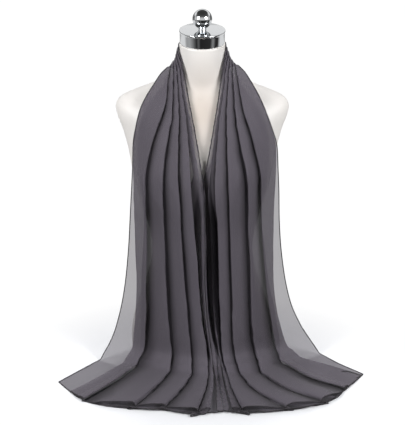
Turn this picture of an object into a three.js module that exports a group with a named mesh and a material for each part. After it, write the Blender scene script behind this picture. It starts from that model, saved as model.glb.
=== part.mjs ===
import * as THREE from 'three';

// Lengths are in millimetres. The form stands on z = 0, its front faces -Y and +X is the viewer's right.

// Sizes of the scarf
const WALL = 1.2;
const CLEAR_OF_FORM = 2.2;
const CLEAR_OF_TABLE = 0.3;
const SEAM_GAP = 0.3;
const FOLD_RADIUS = 2.0;
const NECK_FOLD_RADIUS = 1.15;
const FOLDS = 5;
const FIRST_LAP = 0.5;
const LINES = FOLDS + 2;

// Sizes of the neck cap and its ball
const NECK_TILT = 0.16;
const NECK_TOP = 704;
const BAND_RADIUS = 47.2;
const BAND_HEIGHT = 20.5;
const PLATE_RADIUS = 48.2;
const PLATE_HEIGHT = 5;
const COLLAR_RADIUS = 7.5;
const COLLAR_HEIGHT = 5;
const BALL_RADIUS = 20.2;
const PART_GAP = 0.3;

// Sections of the form from the base to the neck top.
// half = half width, front and back = depth before and behind the middle, y = middle, tilt = rise per mm backwards
const FORM = [
  { z: 0, half: 156, front: 99, back: 116, y: 12, tilt: 0 },
  { z: 8, half: 160, front: 102, back: 120, y: 12, tilt: 0 },
  { z: 55, half: 160, front: 101, back: 121, y: 12, tilt: 0 },
  { z: 100, half: 151, front: 95, back: 113, y: 10, tilt: 0 },
  { z: 150, half: 135, front: 87, back: 99, y: 6, tilt: 0 },
  { z: 200, half: 119, front: 80, back: 88, y: 3, tilt: 0 },
  { z: 250, half: 111, front: 77, back: 83, y: 1, tilt: 0 },
  { z: 300, half: 117, front: 81, back: 83, y: 0, tilt: 0 },
  { z: 350, half: 131, front: 90, back: 87, y: 0, tilt: 0 },
  { z: 400, half: 145, front: 98, back: 92, y: 0, tilt: 0 },
  { z: 440, half: 153, front: 99, back: 96, y: 2, tilt: 0 },
  { z: 480, half: 160, front: 94, back: 100, y: 4, tilt: 0 },
  { z: 520, half: 170.5, front: 85, back: 102, y: 6, tilt: 0 },
  { z: 550, half: 181.5, front: 76, back: 97, y: 8, tilt: 0 },
  { z: 572, half: 185, front: 66, back: 87, y: 10, tilt: 0.01 },
  { z: 588, half: 175, front: 58, back: 77, y: 12, tilt: 0.03 },
  { z: 600, half: 148, front: 53, back: 69, y: 14, tilt: 0.06 },
  { z: 611, half: 116, front: 50, back: 61, y: 15, tilt: 0.1 },
  { z: 621, half: 90, front: 48.5, back: 55, y: 15, tilt: 0.14 },
  { z: 632, half: 70, front: 48, back: 51.5, y: 14, tilt: 0.17 },
  { z: 646, half: 57, front: 48, back: 49.5, y: 11, tilt: 0.17 },
  { z: 664, half: 50.5, front: 48, back: 48.6, y: 7, tilt: 0.165 },
  { z: 684, half: 48.2, front: 47.8, back: 48, y: 3, tilt: 0.16 },
  { z: NECK_TOP, half: 47.8, front: 47.8, back: 47.8, y: 0, tilt: NECK_TILT },
];
const FORM_SQUARENESS = 2.15;
const BUST = { z: 430, x: 76, rise: 17, spreadX: 42, spreadZ: 52 };

// Scarf beside the neck, where the ends meet the stretch round the nape.
// edge = outer edge on the shoulder, rim = inner edge at the neck top, crest = how far the folds stand off between
const NECK_ROWS = [
  { angle: 180, edgeR: 73, edgeZ: 652, rimR: 49.5, rimZ: 701, crest: -4 },
  { angle: 150, edgeR: 71, edgeZ: 641, rimR: 49.5, rimZ: 702, crest: -2 },
  { angle: 120, edgeR: 74, edgeZ: 624, rimR: 49.5, rimZ: 703, crest: 0 },
  { angle: 90, edgeR: 77, edgeZ: 616, rimR: 49.5, rimZ: 704, crest: 1 },
  { angle: 60, edgeR: 74, edgeZ: 625, rimR: 49.5, rimZ: 703, crest: 0 },
  { angle: 30, edgeR: 71, edgeZ: 644, rimR: 49.5, rimZ: 702, crest: -2 },
  { angle: 0, edgeR: 75, edgeZ: 656, rimR: 49.5, rimZ: 701, crest: -4 },
];

// Sections of the hanging ends, top to bottom: outer edge, the five fold edges, inner edge,
// how far the folds stand forward of the edges, fold depth, overlap as a share, droop under the last fold edge
const LEFT_ROWS = [
  { out: [-87, -14, 643], x: [-69, -62, -56, -51, -47], inn: [-45, -18, 683], crest: 6, depth: 9, lap: 0.75 },
  { out: [-102, -30, 623], x: [-74, -62, -53, -46, -41], inn: [-38.5, -33, 655], crest: 9, depth: 11, lap: 0.75 },
  { out: [-119, -46, 598], x: [-76, -62, -50, -40, -34], inn: [-30, -42, 605], crest: 20, depth: 14, lap: 0.75 },
  { out: [-133, -57, 566], x: [-84, -64, -48, -33, -26], inn: [-21.5, -66, 566], crest: 32, depth: 18, lap: 0.75 },
  { out: [-146, -60, 503], x: [-103, -76, -50, -27, -15], inn: [-6, -94, 500], crest: 46, depth: 24, lap: 0.78 },
  { out: [-148.5, -60, 450], x: [-110, -81, -50, -24, -11], inn: [2.5, -112, 450], crest: 46, depth: 26, lap: 0.78 },
  { out: [-151.5, -60, 400], x: [-114, -82, -47, -21, -7], inn: [5.5, -116, 400], crest: 46, depth: 28, lap: 0.8 },
  { out: [-156, -56, 330], x: [-119.5, -82, -46, -16, -3], inn: [7, -113, 330], crest: 47, depth: 30, lap: 0.8 },
  { out: [-160.5, -54, 260], x: [-121, -80, -42, -10, 0.5], inn: [8, -110, 260], crest: 47, depth: 30, lap: 0.8 },
  { out: [-168, -50, 190], x: [-123.5, -78, -37, -6, 2.5], inn: [9.5, -107, 190], crest: 47, depth: 30, lap: 0.8 },
  { out: [-178.5, -48, 130], x: [-124, -75.5, -32, -1, 7], inn: [14, -108, 130], crest: 47, depth: 28, lap: 0.8 },
  { out: [-191.5, -46, 80], x: [-126, -72, -28, 7, 15.5], inn: [22, -113, 80], crest: 46, depth: 24, lap: 0.78 },
  { out: [-206, -47, 42], x: [-130, -69, -25, 11, 21.5], inn: [29, -122, 42], crest: 42, depth: 18, lap: 0.72 },
];
const RIGHT_ROWS = [
  { out: [89, -14, 646], x: [71, 64, 58, 52.5, 48.5], inn: [46, -18, 684], crest: 6, depth: 9, lap: 0.75 },
  { out: [104, -30, 625], x: [76, 65, 55, 48, 44], inn: [41.5, -32, 656], crest: 9, depth: 11, lap: 0.75 },
  { out: [119, -46, 600], x: [82, 67, 52, 42, 37.5], inn: [34.5, -42, 606], crest: 20, depth: 14, lap: 0.75 },
  { out: [135, -57, 565], x: [89, 70, 50, 35, 31], inn: [28, -64, 567], crest: 32, depth: 18, lap: 0.75 },
  { out: [157, -60, 500], x: [107, 82, 52, 29, 21], inn: [12, -92, 500], crest: 46, depth: 24, lap: 0.78 },
  { out: [161, -60, 450], x: [118, 90, 54, 28, 16], inn: [2.5, -103, 450], crest: 46, depth: 26, lap: 0.78 },
  { out: [164, -60, 400], x: [121.5, 95, 56, 30, 15], inn: [4, -101, 400], crest: 48, depth: 28, lap: 0.8 },
  { out: [166.5, -56, 330], x: [126.5, 98, 59, 32, 16], inn: [5.5, -98, 330], crest: 50, depth: 30, lap: 0.8 },
  { out: [172, -54, 260], x: [133, 102.5, 61, 34.5, 18], inn: [6.5, -94, 260], crest: 51, depth: 30, lap: 0.8 },
  { out: [182, -50, 190], x: [140, 105.5, 64, 36, 20], inn: [8, -92, 190], crest: 51, depth: 30, lap: 0.8 },
  { out: [197, -44, 130], x: [149, 108, 65.5, 38, 24], inn: [13, -93, 130], crest: 51, depth: 28, lap: 0.8 },
  { out: [218, -34, 80], x: [157, 112, 68, 41, 30], inn: [21, -99, 80], crest: 50, depth: 24, lap: 0.78 },
  { out: [240, -26, 42], x: [164, 119, 72, 44, 36], inn: [29, -112, 42], crest: 46, depth: 18, lap: 0.72 },
];

// Fold lines across the table from where they land to the hem, a row per line from the outer edge inwards
const LEFT_SPREAD = [
  { land: [-229, -57], mid: [-269, -108], hem: [-309, -164] },
  { land: [-146, -106], mid: [-193, -175], hem: [-247, -252] },
  { land: [-73, -140], mid: [-100, -208], hem: [-139, -286] },
  { land: [-24, -154], mid: [-41, -208], hem: [-76, -292] },
  { land: [13, -162], mid: [7, -222], hem: [-9, -312] },
  { land: [25, -157], mid: [24, -220], hem: [18, -304] },
  { land: [34, -146], mid: [38, -205], hem: [43, -298] },
];
const RIGHT_SPREAD = [
  { land: [266, -26], mid: [306, -76], hem: [351, -126] },
  { land: [176, -84], mid: [232, -150], hem: [302, -201] },
  { land: [130, -146], mid: [178, -212], hem: [247, -266] },
  { land: [83, -152], mid: [110, -218], hem: [172, -294] },
  { land: [54, -158], mid: [62, -220], hem: [80, -306] },
  { land: [45, -154], mid: [49, -215], hem: [58, -303] },
  { land: [35.8, -146], mid: [39.8, -205], hem: [44.9, -298] },
];
const LAND = { fold: 15.5, edge: 3, depth: 13, lap: 0.66, low: 0.7 };
const MID = { fold: 11.6, edge: 0.95, depth: 10.4, lap: 0.6, low: 0.85 };
const HEM = { fold: 11.6, edge: 0.95, depth: 10.4, lap: 0.6, low: 0.85 };
const STEPS_PER_ROW = [2, 2, 2, 2, 2, 1, 1, 1, 1, 1, 1, 1, 2, 3, 2, 3];

const NECK_STEPS = 2;
const FORM_SEGMENTS = 40;
const ROUND_SEGMENTS = 36;
const BALL_SEGMENTS = 28;

const lerp = (a, b, t) => a + (b - a) * t;
const clamp = (v, lo, hi) => Math.min(hi, Math.max(lo, v));

// Smooth curve through the rows, four rows at a time
function through(values, s) {
  const last = values.length - 1;
  const i = clamp(Math.floor(s), 0, last - 1);
  const t = s - i;
  const p1 = values[i];
  const p2 = values[i + 1];
  const p0 = i > 0 ? values[i - 1] : 2 * p1 - p2;
  const p3 = i + 2 <= last ? values[i + 2] : 2 * p2 - p1;
  const m1 = (p2 - p0) / 2;
  const m2 = (p3 - p1) / 2;
  const t2 = t * t;
  const t3 = t2 * t;
  return (2 * t3 - 3 * t2 + 1) * p1 + (t3 - 2 * t2 + t) * m1 + (3 * t2 - 2 * t3) * p2 + (t3 - t2) * m2;
}

// Form section at a height, between the rows of the table
function formRow(z) {
  let i = 0;
  while (i < FORM.length - 2 && FORM[i + 1].z < z) i += 1;
  const a = FORM[i];
  const b = FORM[i + 1];
  const t = clamp((z - a.z) / (b.z - a.z), 0, 1);
  const row = {};
  for (const key of Object.keys(a)) row[key] = lerp(a[key], b[key], t);
  return row;
}

const power = (v, e) => Math.sign(v) * Math.pow(Math.abs(v), e);

function bustRise(x, z) {
  const dz = (z - BUST.z) / BUST.spreadZ;
  const left = (x + BUST.x) / BUST.spreadX;
  const right = (x - BUST.x) / BUST.spreadX;
  return BUST.rise * Math.exp(-dz * dz) * (Math.exp(-left * left) + Math.exp(-right * right));
}

function formPoint(row, angle) {
  const e = 2 / FORM_SQUARENESS;
  const c = power(Math.cos(angle), e);
  const s = power(Math.sin(angle), e);
  const x = row.half * c;
  const flat = (s < 0 ? row.front : row.back) * s;
  const y = row.y + flat - (s < 0 ? bustRise(x, row.z) * Math.min(1, -s * 2) : 0);
  return new THREE.Vector3(x, y, row.z + row.tilt * flat);
}

// Below zero inside the form, above zero outside, close to the distance in mm near its skin
function formField(p) {
  let zc = p.z;
  let row = formRow(zc);
  for (let i = 0; i < 4; i += 1) {
    zc = p.z - row.tilt * (p.y - row.y);
    row = formRow(zc);
  }
  const lift = p.y < row.y ? bustRise(p.x, row.z) : 0;
  const depth = p.y < row.y ? row.front + lift : row.back;
  const n = FORM_SQUARENESS;
  const across = Math.pow(Math.abs(p.x) / row.half, n);
  const value = across + Math.pow(Math.abs(p.y - row.y) / depth, n);
  const field = (Math.pow(value, 1 / n) - 1) * Math.min(row.half, depth);
  if (lift < 0.5 || across > 0.9) return field;
  const skin = row.y - row.front * Math.pow(1 - across, 1 / n) - lift;
  return Math.min(field, 0.8 * (skin - p.y));
}

// How far a point has to move along a direction to stand clear of the form
function pushOut(p, direction, clearance) {
  const step = 0.5;
  const q = p.clone();
  let moved = 0;
  while (formField(q) < clearance && moved < 60) {
    q.addScaledVector(direction, step);
    moved += step;
  }
  return moved;
}

// Directions square to the cloth at each point of a grid: rows run along the cloth, columns across it
function normalGrid(grid) {
  const lastRow = grid.length - 1;
  const lastCol = grid[0].length - 1;
  return grid.map((row, i) => row.map((here, j) => {
    const along = grid[Math.min(i + 1, lastRow)][j].clone().sub(grid[Math.max(i - 1, 0)][j]);
    const before = here.clone().sub(row[Math.max(j - 1, 0)]).normalize();
    const after = row[Math.min(j + 1, lastCol)].clone().sub(here).normalize();
    return along.cross(before.add(after)).normalize();
  }));
}

// One closed wall from a grid of middle points and their normals
function wallFromGrid({ grid, normals }, thickness) {
  const rows = grid.length;
  const cols = grid[0].length;
  const positions = [];
  for (const side of [1, -1]) {
    for (let i = 0; i < rows; i += 1) {
      for (let j = 0; j < cols; j += 1) {
        const p = grid[i][j].clone().addScaledVector(normals[i][j], side * thickness / 2);
        positions.push(p.x, p.y, p.z);
      }
    }
  }
  const index = [];
  const top = (i, j) => i * cols + j;
  const low = (i, j) => rows * cols + i * cols + j;
  const quad = (a, b, c, d) => index.push(a, b, c, a, c, d);
  for (let i = 0; i < rows - 1; i += 1) {
    for (let j = 0; j < cols - 1; j += 1) {
      quad(top(i, j), top(i + 1, j), top(i + 1, j + 1), top(i, j + 1));
      quad(low(i, j), low(i, j + 1), low(i + 1, j + 1), low(i + 1, j));
    }
    quad(top(i, 0), low(i, 0), low(i + 1, 0), top(i + 1, 0));
    quad(top(i, cols - 1), top(i + 1, cols - 1), low(i + 1, cols - 1), low(i, cols - 1));
  }
  for (let j = 0; j < cols - 1; j += 1) {
    quad(top(0, j), top(0, j + 1), low(0, j + 1), low(0, j));
    quad(top(rows - 1, j), low(rows - 1, j), low(rows - 1, j + 1), top(rows - 1, j + 1));
  }
  return { positions, index };
}

function geometryOf(data) {
  const geometry = new THREE.BufferGeometry();
  geometry.setAttribute('position', new THREE.Float32BufferAttribute(data.positions, 3));
  geometry.setIndex(data.index);
  geometry.computeVertexNormals();
  return geometry;
}

function signedVolume(data) {
  let sum = 0;
  const at = (k) => new THREE.Vector3().fromArray(data.positions, 3 * k);
  for (let i = 0; i < data.index.length; i += 3) {
    sum += at(data.index[i]).dot(at(data.index[i + 1]).cross(at(data.index[i + 2]))) / 6;
  }
  return sum;
}

function facedOut(data) {
  if (signedVolume(data) < 0) {
    for (let i = 0; i < data.index.length; i += 3) {
      const keep = data.index[i];
      data.index[i] = data.index[i + 1];
      data.index[i + 1] = keep;
    }
  }
  return data;
}

// Outward direction of the pleated cloth at each line of each station
function outwardGrid(lines, side) {
  const count = lines.length;
  const raw = lines.map((row, i) => row.map((p, k) => {
    const along = lines[Math.min(i + 1, count - 1)][k].clone().sub(lines[Math.max(i - 1, 0)][k]);
    const across = row[Math.min(k + 1, LINES - 1)].clone().sub(row[Math.max(k - 1, 0)]);
    return along.cross(across).multiplyScalar(side).normalize();
  }));
  let current = raw;
  for (let pass = 0; pass < 2; pass += 1) {
    current = current.map((row, i) => row.map((n, k) => {
      const sum = n.clone().multiplyScalar(2);
      sum.add(current[Math.min(i + 1, count - 1)][k]);
      sum.add(current[Math.max(i - 1, 0)][k]);
      sum.add(row[Math.min(k + 1, LINES - 1)]);
      sum.add(row[Math.max(k - 1, 0)]);
      return sum.normalize();
    }));
  }
  return current;
}

// Section across the cloth: from the outer edge each face climbs to its fold edge, turns back under
// itself by the overlap and starts the next face below, so that every fold edge points to the inner edge
function pleatSection(points, outward, size) {
  const section = [];
  const place = (k, f, h) => {
    const a = points[k].clone().lerp(points[k + 1], f);
    const n = outward[k].clone().lerp(outward[k + 1], f);
    const p = a.addScaledVector(n, h);
    p.line = k + f;
    section.push(p);
  };
  const sag = (size.low - 0.5) * size.depth;
  place(0, 0, 0);
  place(0, 0.35, -sag);
  place(0, 0.7, -0.9 * sag);
  for (let k = 1; k <= FOLDS; k += 1) {
    const width = points[k].distanceTo(points[k - 1]);
    const radius = Math.min(size.radius, 0.3 * width);
    const nose = clamp(1.2 * radius / width, 0, 0.4);
    const lap = clamp(size.lapWidth / width, 0.2, k === 1 ? size.first : size.lap);
    if (k > 1) {
      place(k - 1, 0.05, -size.low * size.depth);
      place(k - 1, 0.55, -0.25 * size.depth);
    }
    place(k - 1, 1 - nose, 0);
    place(k - 1, 1, -radius);
    place(k - 1, 1 - nose, -2 * radius);
    const turn = Math.min(2 * radius, 0.28 * size.depth);
    place(k - 1, 1 - 0.55 * lap - 0.2 * nose, lerp(-2 * radius, turn - size.depth, 0.55));
    place(k - 1, 1 - lap, turn - size.depth);
    place(k - 1, 1 - lap - 0.5 * nose, 0.5 * turn - size.depth);
    place(k - 1, 1 - lap, -size.depth);
  }
  place(FOLDS, 0.05, -size.low * size.depth);
  place(FOLDS, 0.55, -0.42 * size.low * size.depth);
  place(FOLDS, 1, 0);
  return section;
}

// Lines are lifted so that the edges and the backs of the folds stand clear of the form
function clearedLines(lines, sizes, side) {
  for (let pass = 0; pass < 5; pass += 1) {
    const outward = outwardGrid(lines, side);
    lines.forEach((row, i) => {
      const lift = new Array(LINES).fill(0);
      pleatSection(row, outward[i], sizes[i]).forEach((p) => {
        const k = clamp(Math.floor(p.line), 0, LINES - 2);
        const moved = pushOut(p, outward[i][k], WALL / 2 + sizes[i].clear);
        const f = p.line - k;
        const share = k === 0 && f > 0.01 ? 0 : Math.min(1, 1.5 * (1 - f));
        lift[k] = Math.max(lift[k], moved * share);
        lift[k + 1] = Math.max(lift[k + 1], moved * Math.min(1, 1.5 * f));
      });
      row.forEach((p, k) => p.addScaledVector(outward[i][k], lift[k]));
    });
  }
  return outwardGrid(lines, side);
}

// Seven lines beside the neck for one row of the neck table
function neckLines(row) {
  const angle = THREE.MathUtils.degToRad(row.angle);
  const radial = new THREE.Vector3(Math.cos(angle), Math.sin(angle), 0);
  const middle = (z) => formRow(z).y;
  const edge = radial.clone().multiplyScalar(row.edgeR).add(new THREE.Vector3(0, middle(row.edgeZ), row.edgeZ));
  const rim = radial.clone().multiplyScalar(row.rimR).add(new THREE.Vector3(0, middle(row.rimZ), row.rimZ));
  edge.z += NECK_TILT * Math.sin(angle) * 10;
  rim.z += NECK_TILT * Math.sin(angle) * row.rimR;
  const lean = new THREE.Vector3(radial.x, radial.y, 0.45).normalize();
  const points = [];
  for (let k = 0; k < LINES; k += 1) {
    const w = k / (LINES - 1);
    points.push(edge.clone().lerp(rim, w).addScaledVector(lean, row.crest * 4 * w * (1 - w)));
  }
  return points;
}

const NECK_SIZE = {
  depth: 5.6, lap: 0.7, first: 0.7, low: 0.72, radius: NECK_FOLD_RADIUS, lapWidth: 45, clear: 0.6,
};

// Seven lines of a hanging row: heights and depths run evenly between the edges, widths come from the table
function hangLines(row) {
  const points = [];
  for (let k = 0; k < LINES; k += 1) {
    const w = k / (LINES - 1);
    const shape = Math.sin(Math.PI * Math.pow(w, 0.8));
    const x = k === 0 ? row.out[0] : k === LINES - 1 ? row.inn[0] : row.x[k - 1];
    const y = lerp(row.out[1], row.inn[1], w) - row.crest * shape;
    points.push(new THREE.Vector3(x, y, lerp(row.out[2], row.inn[2], w)));
  }
  return points;
}

function spreadLines(spread, key, size) {
  return spread.map((line, k) => {
    const z = k === 0 || k === LINES - 1 ? size.edge : size.fold;
    return new THREE.Vector3(line[key][0], line[key][1], z);
  });
}

function endLines(neckRow, rows, spread) {
  const keys = [neckLines(neckRow)];
  const sizes = [NECK_SIZE];
  rows.forEach((row) => {
    keys.push(hangLines(row));
    const radius = row.depth < 14 ? NECK_FOLD_RADIUS : FOLD_RADIUS;
    const low = row.depth < 10 ? 0.6 : 0.5;
    const clear = row.depth < 12 ? 0.8 : CLEAR_OF_FORM;
    sizes.push({ depth: row.depth, lap: row.lap, first: FIRST_LAP, low, radius, lapWidth: 45, clear });
  });
  for (const [key, size] of [['land', LAND], ['mid', MID], ['hem', HEM]]) {
    keys.push(spreadLines(spread, key, size));
    const { depth, lap, low } = size;
    const radius = FOLD_RADIUS + 0.5;
    sizes.push({ depth, lap, first: lap, low, radius, lapWidth: 45, clear: CLEAR_OF_FORM });
  }
  const lines = [];
  const between = [];
  const stations = [0];
  STEPS_PER_ROW.forEach((steps, i) => {
    for (let n = 1; n <= steps; n += 1) stations.push(i + n / steps);
  });
  for (const s of stations) {
    const row = [];
    for (let k = 0; k < LINES; k += 1) {
      row.push(new THREE.Vector3(
        through(keys.map((key) => key[k].x), s),
        through(keys.map((key) => key[k].y), s),
        through(keys.map((key) => key[k].z), s),
      ));
    }
    lines.push(row);
    const i = clamp(Math.floor(s), 0, sizes.length - 2);
    const size = {};
    for (const name of Object.keys(sizes[0])) size[name] = lerp(sizes[i][name], sizes[i + 1][name], s - i);
    between.push(size);
  }
  return { lines, sizes: between };
}

function keptAboveTable(section) {
  const lowest = WALL / 2 + CLEAR_OF_TABLE;
  section.forEach((p) => {
    if (p.z < lowest) p.z = lowest;
  });
  return section;
}

function scarfEnd(neckRow, rows, spread, side) {
  const { lines, sizes } = endLines(neckRow, rows, spread);
  const outward = clearedLines(lines, sizes, side);
  return lines.map((row, i) => keptAboveTable(pleatSection(row, outward[i], sizes[i])));
}

function scarfNeck() {
  const keys = NECK_ROWS.map(neckLines);
  const lines = [];
  for (let s = 0; s <= (NECK_ROWS.length - 1) * NECK_STEPS; s += 1) {
    const row = [];
    for (let k = 0; k < LINES; k += 1) {
      row.push(new THREE.Vector3(
        through(keys.map((key) => key[k].x), s / NECK_STEPS),
        through(keys.map((key) => key[k].y), s / NECK_STEPS),
        through(keys.map((key) => key[k].z), s / NECK_STEPS),
      ));
    }
    lines.push(row);
  }
  const sizes = lines.map(() => NECK_SIZE);
  const outward = clearedLines(lines, sizes, -1);
  return lines.map((row, i) => pleatSection(row, outward[i], sizes[i]));
}

// The scarf is one cloth from hem to hem, parted by a narrow gap at each side of the neck
function partedCloth(left, neck, right) {
  const whole = [...left.slice().reverse(), ...neck.slice(1, -1), ...right];
  const normals = normalGrid(whole);
  const cuts = [left.length - 1, left.length + neck.length - 2];
  const piece = (from, to) => {
    const grid = whole.slice(from, to + 1).map((row) => row.map((p) => p.clone()));
    const shift = (i, inward) => grid[i].forEach((p, j) => {
      p.lerp(grid[inward][j], SEAM_GAP * 0.6 / p.distanceTo(grid[inward][j]));
    });
    if (from > 0) shift(0, 1);
    if (to < whole.length - 1) shift(grid.length - 1, grid.length - 2);
    return { grid, normals: normals.slice(from, to + 1) };
  };
  return [piece(0, cuts[0]), piece(...cuts), piece(cuts[1], whole.length - 1)];
}

// Form: rings from the flat base to the flat neck top
function formData() {
  const positions = [];
  const index = [];
  FORM.forEach((row) => {
    for (let j = 0; j < FORM_SEGMENTS; j += 1) {
      const p = formPoint(row, 2 * Math.PI * j / FORM_SEGMENTS);
      positions.push(p.x, p.y, p.z);
    }
  });
  const count = FORM.length;
  for (let i = 0; i < count - 1; i += 1) {
    for (let j = 0; j < FORM_SEGMENTS; j += 1) {
      const a = i * FORM_SEGMENTS + j;
      const b = i * FORM_SEGMENTS + (j + 1) % FORM_SEGMENTS;
      index.push(a, b, b + FORM_SEGMENTS, a, b + FORM_SEGMENTS, a + FORM_SEGMENTS);
    }
  }
  for (const [ring, flip] of [[0, true], [count - 1, false]]) {
    const row = FORM[ring];
    const centre = positions.length / 3;
    positions.push(0, row.y, row.z);
    for (let j = 0; j < FORM_SEGMENTS; j += 1) {
      const a = ring * FORM_SEGMENTS + j;
      const b = ring * FORM_SEGMENTS + (j + 1) % FORM_SEGMENTS;
      if (flip) index.push(centre, b, a);
      else index.push(centre, a, b);
    }
  }
  return { positions, index };
}

// Turned pieces: rows of radius and height from the bottom of the axis to its top
function turned(profile, segments) {
  const positions = [];
  const index = [];
  const inner = profile.slice(1, -1);
  positions.push(0, 0, profile[0].h);
  inner.forEach((row) => {
    for (let j = 0; j < segments; j += 1) {
      const angle = 2 * Math.PI * j / segments;
      positions.push(row.r * Math.cos(angle), row.r * Math.sin(angle), row.h);
    }
  });
  positions.push(0, 0, profile[profile.length - 1].h);
  const end = positions.length / 3 - 1;
  for (let j = 0; j < segments; j += 1) {
    const n = (j + 1) % segments;
    index.push(0, 1 + n, 1 + j);
    for (let i = 0; i < inner.length - 1; i += 1) {
      const a = 1 + i * segments;
      index.push(a + j, a + n, a + segments + n, a + j, a + segments + n, a + segments + j);
    }
    const a = 1 + (inner.length - 1) * segments;
    index.push(end, a + j, a + n);
  }
  return { positions, index };
}

function onNeckAxis(data) {
  const tilt = Math.atan(NECK_TILT);
  const matrix = new THREE.Matrix4().makeRotationX(tilt);
  matrix.setPosition(0, 0, NECK_TOP);
  const p = new THREE.Vector3();
  for (let i = 0; i < data.positions.length; i += 3) {
    p.fromArray(data.positions, i).applyMatrix4(matrix).toArray(data.positions, i);
  }
  return data;
}

const bandTop = PART_GAP + BAND_HEIGHT;
const plateTop = bandTop + PLATE_HEIGHT;
const capProfile = [
  { r: 0, h: PART_GAP },
  { r: BAND_RADIUS, h: PART_GAP },
  { r: BAND_RADIUS, h: bandTop },
  { r: PLATE_RADIUS - 0.6, h: bandTop + 1.6 },
  { r: PLATE_RADIUS, h: bandTop + 2.4 },
  { r: PLATE_RADIUS, h: plateTop - 0.6 },
  { r: PLATE_RADIUS - 0.6, h: plateTop },
  { r: 0, h: plateTop },
];

const collarBase = plateTop + PART_GAP;
const ballCentre = collarBase + COLLAR_HEIGHT + Math.sqrt(BALL_RADIUS ** 2 - COLLAR_RADIUS ** 2);
const ballProfile = [{ r: 0, h: collarBase }, { r: COLLAR_RADIUS + 1.5, h: collarBase }];
ballProfile.push({ r: COLLAR_RADIUS + 1.5, h: collarBase + 1.5 });
ballProfile.push({ r: COLLAR_RADIUS, h: collarBase + 2.5 });
const ballSteps = 12;
const ballStart = Math.asin(COLLAR_RADIUS / BALL_RADIUS);
for (let i = 0; i < ballSteps; i += 1) {
  const angle = lerp(ballStart, Math.PI, i / ballSteps);
  ballProfile.push({ r: BALL_RADIUS * Math.sin(angle), h: ballCentre - BALL_RADIUS * Math.cos(angle) });
}
ballProfile.push({ r: 0, h: ballCentre + BALL_RADIUS });

function addMesh(group, name, data, colour, roughness, metalness) {
  const material = new THREE.MeshStandardMaterial({ color: colour, roughness, metalness });
  const mesh = new THREE.Mesh(geometryOf(facedOut(data)), material);
  mesh.name = name;
  group.add(mesh);
}

const CLOTH = 0x57525a;
const SATIN_WHITE = 0xf1efed;
const CHROME = 0xc9cdd2;

const [leftEnd, neck, rightEnd] = partedCloth(
  scarfEnd(NECK_ROWS[0], LEFT_ROWS, LEFT_SPREAD, 1),
  scarfNeck(),
  scarfEnd(NECK_ROWS[NECK_ROWS.length - 1], RIGHT_ROWS, RIGHT_SPREAD, -1),
);

const group = new THREE.Group();
addMesh(group, 'form_torso', formData(), SATIN_WHITE, 0.45, 0);
addMesh(group, 'neck_cap', onNeckAxis(turned(capProfile, ROUND_SEGMENTS)), CHROME, 0.1, 1);
addMesh(group, 'finial', onNeckAxis(turned(ballProfile, BALL_SEGMENTS)), CHROME, 0.1, 1);
addMesh(group, 'scarf_neck', wallFromGrid(neck, WALL), CLOTH, 0.85, 0);
addMesh(group, 'scarf_left_end', wallFromGrid(leftEnd, WALL), CLOTH, 0.85, 0);
addMesh(group, 'scarf_right_end', wallFromGrid(rightEnd, WALL), CLOTH, 0.85, 0);

export default group;
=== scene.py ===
import math

import bpy
import numpy as np
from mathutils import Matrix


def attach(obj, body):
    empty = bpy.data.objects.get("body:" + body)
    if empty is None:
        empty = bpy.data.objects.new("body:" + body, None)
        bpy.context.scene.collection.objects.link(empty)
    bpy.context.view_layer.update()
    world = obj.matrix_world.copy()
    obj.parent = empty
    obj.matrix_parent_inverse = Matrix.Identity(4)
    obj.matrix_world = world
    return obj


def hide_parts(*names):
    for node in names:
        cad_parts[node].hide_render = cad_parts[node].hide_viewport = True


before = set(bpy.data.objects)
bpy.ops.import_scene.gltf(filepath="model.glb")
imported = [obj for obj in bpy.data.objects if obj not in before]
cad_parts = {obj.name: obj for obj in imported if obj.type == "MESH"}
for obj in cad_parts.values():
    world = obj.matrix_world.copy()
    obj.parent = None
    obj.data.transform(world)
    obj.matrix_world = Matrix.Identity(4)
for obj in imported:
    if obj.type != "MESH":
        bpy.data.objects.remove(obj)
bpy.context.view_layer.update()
scene = bpy.context.scene


# Display form: the white women's torso that the scarf is laid over. A hollow fibreglass moulding,
# gel-coated and rubbed down to satin, cut off level at the hips and at the arms, with a flat underside
# that stands on the table. It is drawn as level rings that lean forward at the neck.
FORM_ROWS = np.array([
    # height, half width, depth in front, depth behind, middle, rise per mm backwards
    (0, 156, 99, 116, 12, 0), (8, 160, 102, 120, 12, 0), (55, 160, 101, 121, 12, 0),
    (100, 151, 95, 113, 10, 0), (150, 135, 87, 99, 6, 0), (200, 119, 80, 88, 3, 0),
    (250, 111, 77, 83, 1, 0), (300, 117, 81, 83, 0, 0), (350, 131, 90, 87, 0, 0),
    (400, 145, 98, 92, 0, 0), (440, 153, 99, 96, 2, 0), (480, 160, 94, 100, 4, 0),
    (520, 170.5, 85, 102, 6, 0), (550, 181.5, 76, 97, 8, 0), (572, 185, 66, 87, 10, 0.01),
    (588, 175, 58, 77, 12, 0.03), (600, 148, 53, 69, 14, 0.06), (611, 116, 50, 61, 15, 0.1),
    (621, 90, 48.5, 55, 15, 0.14), (632, 70, 48, 51.5, 14, 0.17), (646, 57, 48, 49.5, 11, 0.17),
    (664, 50.5, 48, 48.6, 7, 0.165), (684, 48.2, 47.8, 48, 3, 0.16), (706.5, 47.8, 47.8, 47.8, 0, 0.16),
])
NECK_TOP = FORM_ROWS[-1, 0]
FORM_SQUARENESS = 2.15
BUST_HEIGHT, BUST_ACROSS, BUST_RISE = 430.0, 76.0, 17.0
BUST_SPREAD_ACROSS, BUST_SPREAD_UP = 42.0, 52.0
AROUND = 160
RINGS_PER_ROW = 6
# Sizes of the rings inside each flat end, as shares of the end's outline
END_RINGS = (0.985, 0.6)


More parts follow.
